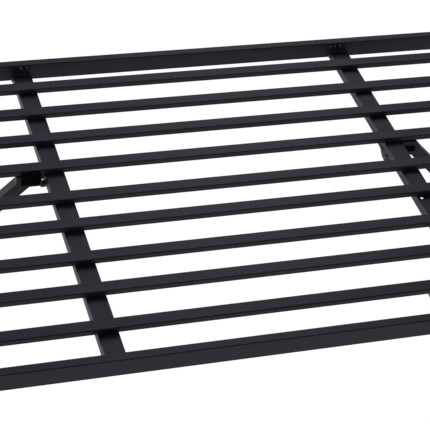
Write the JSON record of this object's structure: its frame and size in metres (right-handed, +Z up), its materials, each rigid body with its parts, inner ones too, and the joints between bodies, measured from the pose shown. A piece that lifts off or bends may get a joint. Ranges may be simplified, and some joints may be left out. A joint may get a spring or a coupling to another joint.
{
  "type": "folding luggage rack",
  "caption": "Low folding luggage rack: a slatted charcoal steel deck with raised rails on two end leg frames that fold flat under it on knee stays.",
  "frame": {"origin": "on the floor, under the middle of the deck", "axes": "+X along the slats and the two long rails, to the right; +Y from front to back; +Z up"},
  "size_m": [0.8, 0.45, 0.4107],
  "materials": {
    "coated_tube": "satin charcoal powder coat",
    "coated_bracket": "satin charcoal powder coat",
    "black_plastic": "matte",
    "foot_rubber": "matte",
    "plated_steel": "dark plated"
  },
  "bodies": {
    "deck": {"front_rail": "coated_tube", "back_rail": "coated_tube", "left_end_rail": "coated_tube", "right_end_rail": "coated_tube", "rail_caps": "black_plastic", "slat_1": "coated_tube", "slat_2": "coated_tube", "slat_3": "coated_tube", "slat_4": "coated_tube", "slat_5": "coated_tube", "slat_6": "coated_tube", "slat_7": "coated_tube", "slat_8": "coated_tube", "slat_9": "coated_tube", "left_cross_member": "coated_tube", "right_cross_member": "coated_tube", "left_stay_bracket": "coated_bracket", "left_bracket_plug": "black_plastic", "left_pivot_pin": "plated_steel", "left_hinge_plates": "coated_bracket", "left_hinge_bolts": "plated_steel", "left_hinge_washers": "plated_steel", "left_hinge_nuts": "plated_steel", "right_stay_bracket": "coated_bracket", "right_bracket_plug": "black_plastic", "right_pivot_pin": "plated_steel", "right_hinge_plates": "coated_bracket", "right_hinge_bolts": "plated_steel", "right_hinge_washers": "plated_steel", "right_hinge_nuts": "plated_steel"},
    "left_leg_frame": {"left_front_leg": "coated_tube", "left_back_leg": "coated_tube", "left_stay_bar": "coated_tube", "left_foot_bar": "coated_tube", "left_stay_lug": "coated_bracket", "left_leg_plugs": "black_plastic", "left_feet": "foot_rubber", "left_lug_pin": "plated_steel"},
    "left_upper_link": {"left_upper_stay": "coated_tube", "left_knee_bush": "plated_steel"},
    "left_lower_link": {"left_lower_stay": "coated_tube", "left_knee_rivets": "plated_steel"},
    "right_leg_frame": {"right_front_leg": "coated_tube", "right_back_leg": "coated_tube", "right_stay_bar": "coated_tube", "right_foot_bar": "coated_tube", "right_stay_lug": "coated_bracket", "right_leg_plugs": "black_plastic", "right_feet": "foot_rubber", "right_lug_pin": "plated_steel"},
    "right_upper_link": {"right_upper_stay": "coated_tube", "right_knee_bush": "plated_steel"},
    "right_lower_link": {"right_lower_stay": "coated_tube", "right_knee_rivets": "plated_steel"}
  },
  "joints": [
    {"name": "left_leg_fold", "type": "hinge", "parent": "deck", "child": "left_leg_frame", "pos_m": [-0.385, 0, 0.375], "axis": [0, -1, 0], "range_deg": [0, 90]},
    {"name": "left_upper_link_fold", "type": "hinge", "parent": "deck", "child": "left_upper_link", "pos_m": [-0.2022, 0.0574, 0.3904], "axis": [0, 1, 0], "range_deg": [0, 45]},
    {"name": "left_lower_link_fold", "type": "hinge", "parent": "left_leg_frame", "child": "left_lower_link", "pos_m": [-0.385, 0.0574, 0.2076], "axis": [0, -1, 0], "range_deg": [0, 37.76]},
    {"name": "right_leg_fold", "type": "hinge", "parent": "deck", "child": "right_leg_frame", "pos_m": [0.385, 0, 0.375], "axis": [0, 1, 0], "range_deg": [0, 90]},
    {"name": "right_upper_link_fold", "type": "hinge", "parent": "deck", "child": "right_upper_link", "pos_m": [0.2022, 0.0526, 0.3904], "axis": [0, -1, 0], "range_deg": [0, 45]},
    {"name": "right_lower_link_fold", "type": "hinge", "parent": "right_leg_frame", "child": "right_lower_link", "pos_m": [0.385, 0.0526, 0.2076], "axis": [0, 1, 0], "range_deg": [0, 37.76]}
  ],
  "couplings": [
    {"joint": "left_upper_link_fold", "follows": "left_leg_fold", "ratio": 0.5},
    {"joint": "left_lower_link_fold", "follows": "left_leg_fold", "ratio": 0.4195},
    {"joint": "right_upper_link_fold", "follows": "right_leg_fold", "ratio": 0.5},
    {"joint": "right_lower_link_fold", "follows": "right_leg_fold", "ratio": 0.4195}
  ]
}
